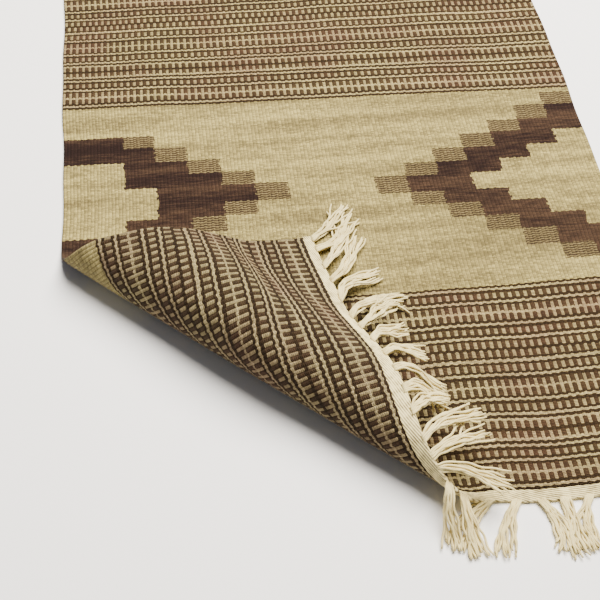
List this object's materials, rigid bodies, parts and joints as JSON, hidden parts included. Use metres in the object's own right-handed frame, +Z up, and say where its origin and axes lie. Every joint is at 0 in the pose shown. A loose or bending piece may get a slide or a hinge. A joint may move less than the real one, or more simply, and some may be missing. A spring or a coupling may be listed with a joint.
{
  "type": "kilim rug",
  "caption": "Small flat-woven rug with banded ends, stepped diamonds and fringe, one corner folded over on a soft roll.",
  "frame": {"origin": "on the floor, under the middle of the rug with its fringes", "axes": "+Y along the warps, away from the folded end; +X across the rug, from the folded selvedge to the other; +Z up"},
  "size_m": [0.6007, 0.8989, 0.0613],
  "materials": {
    "woven_wool": "matt flat-woven wool, cream ground with brown patterns",
    "cotton_warp_ends": "undyed twisted yarn"
  },
  "bodies": {
    "root": {"rug_cloth": "woven_wool", "fringe_flap": "cotton_warp_ends", "fringe_near": "cotton_warp_ends", "fringe_far": "cotton_warp_ends"}
  },
  "joints": []
}
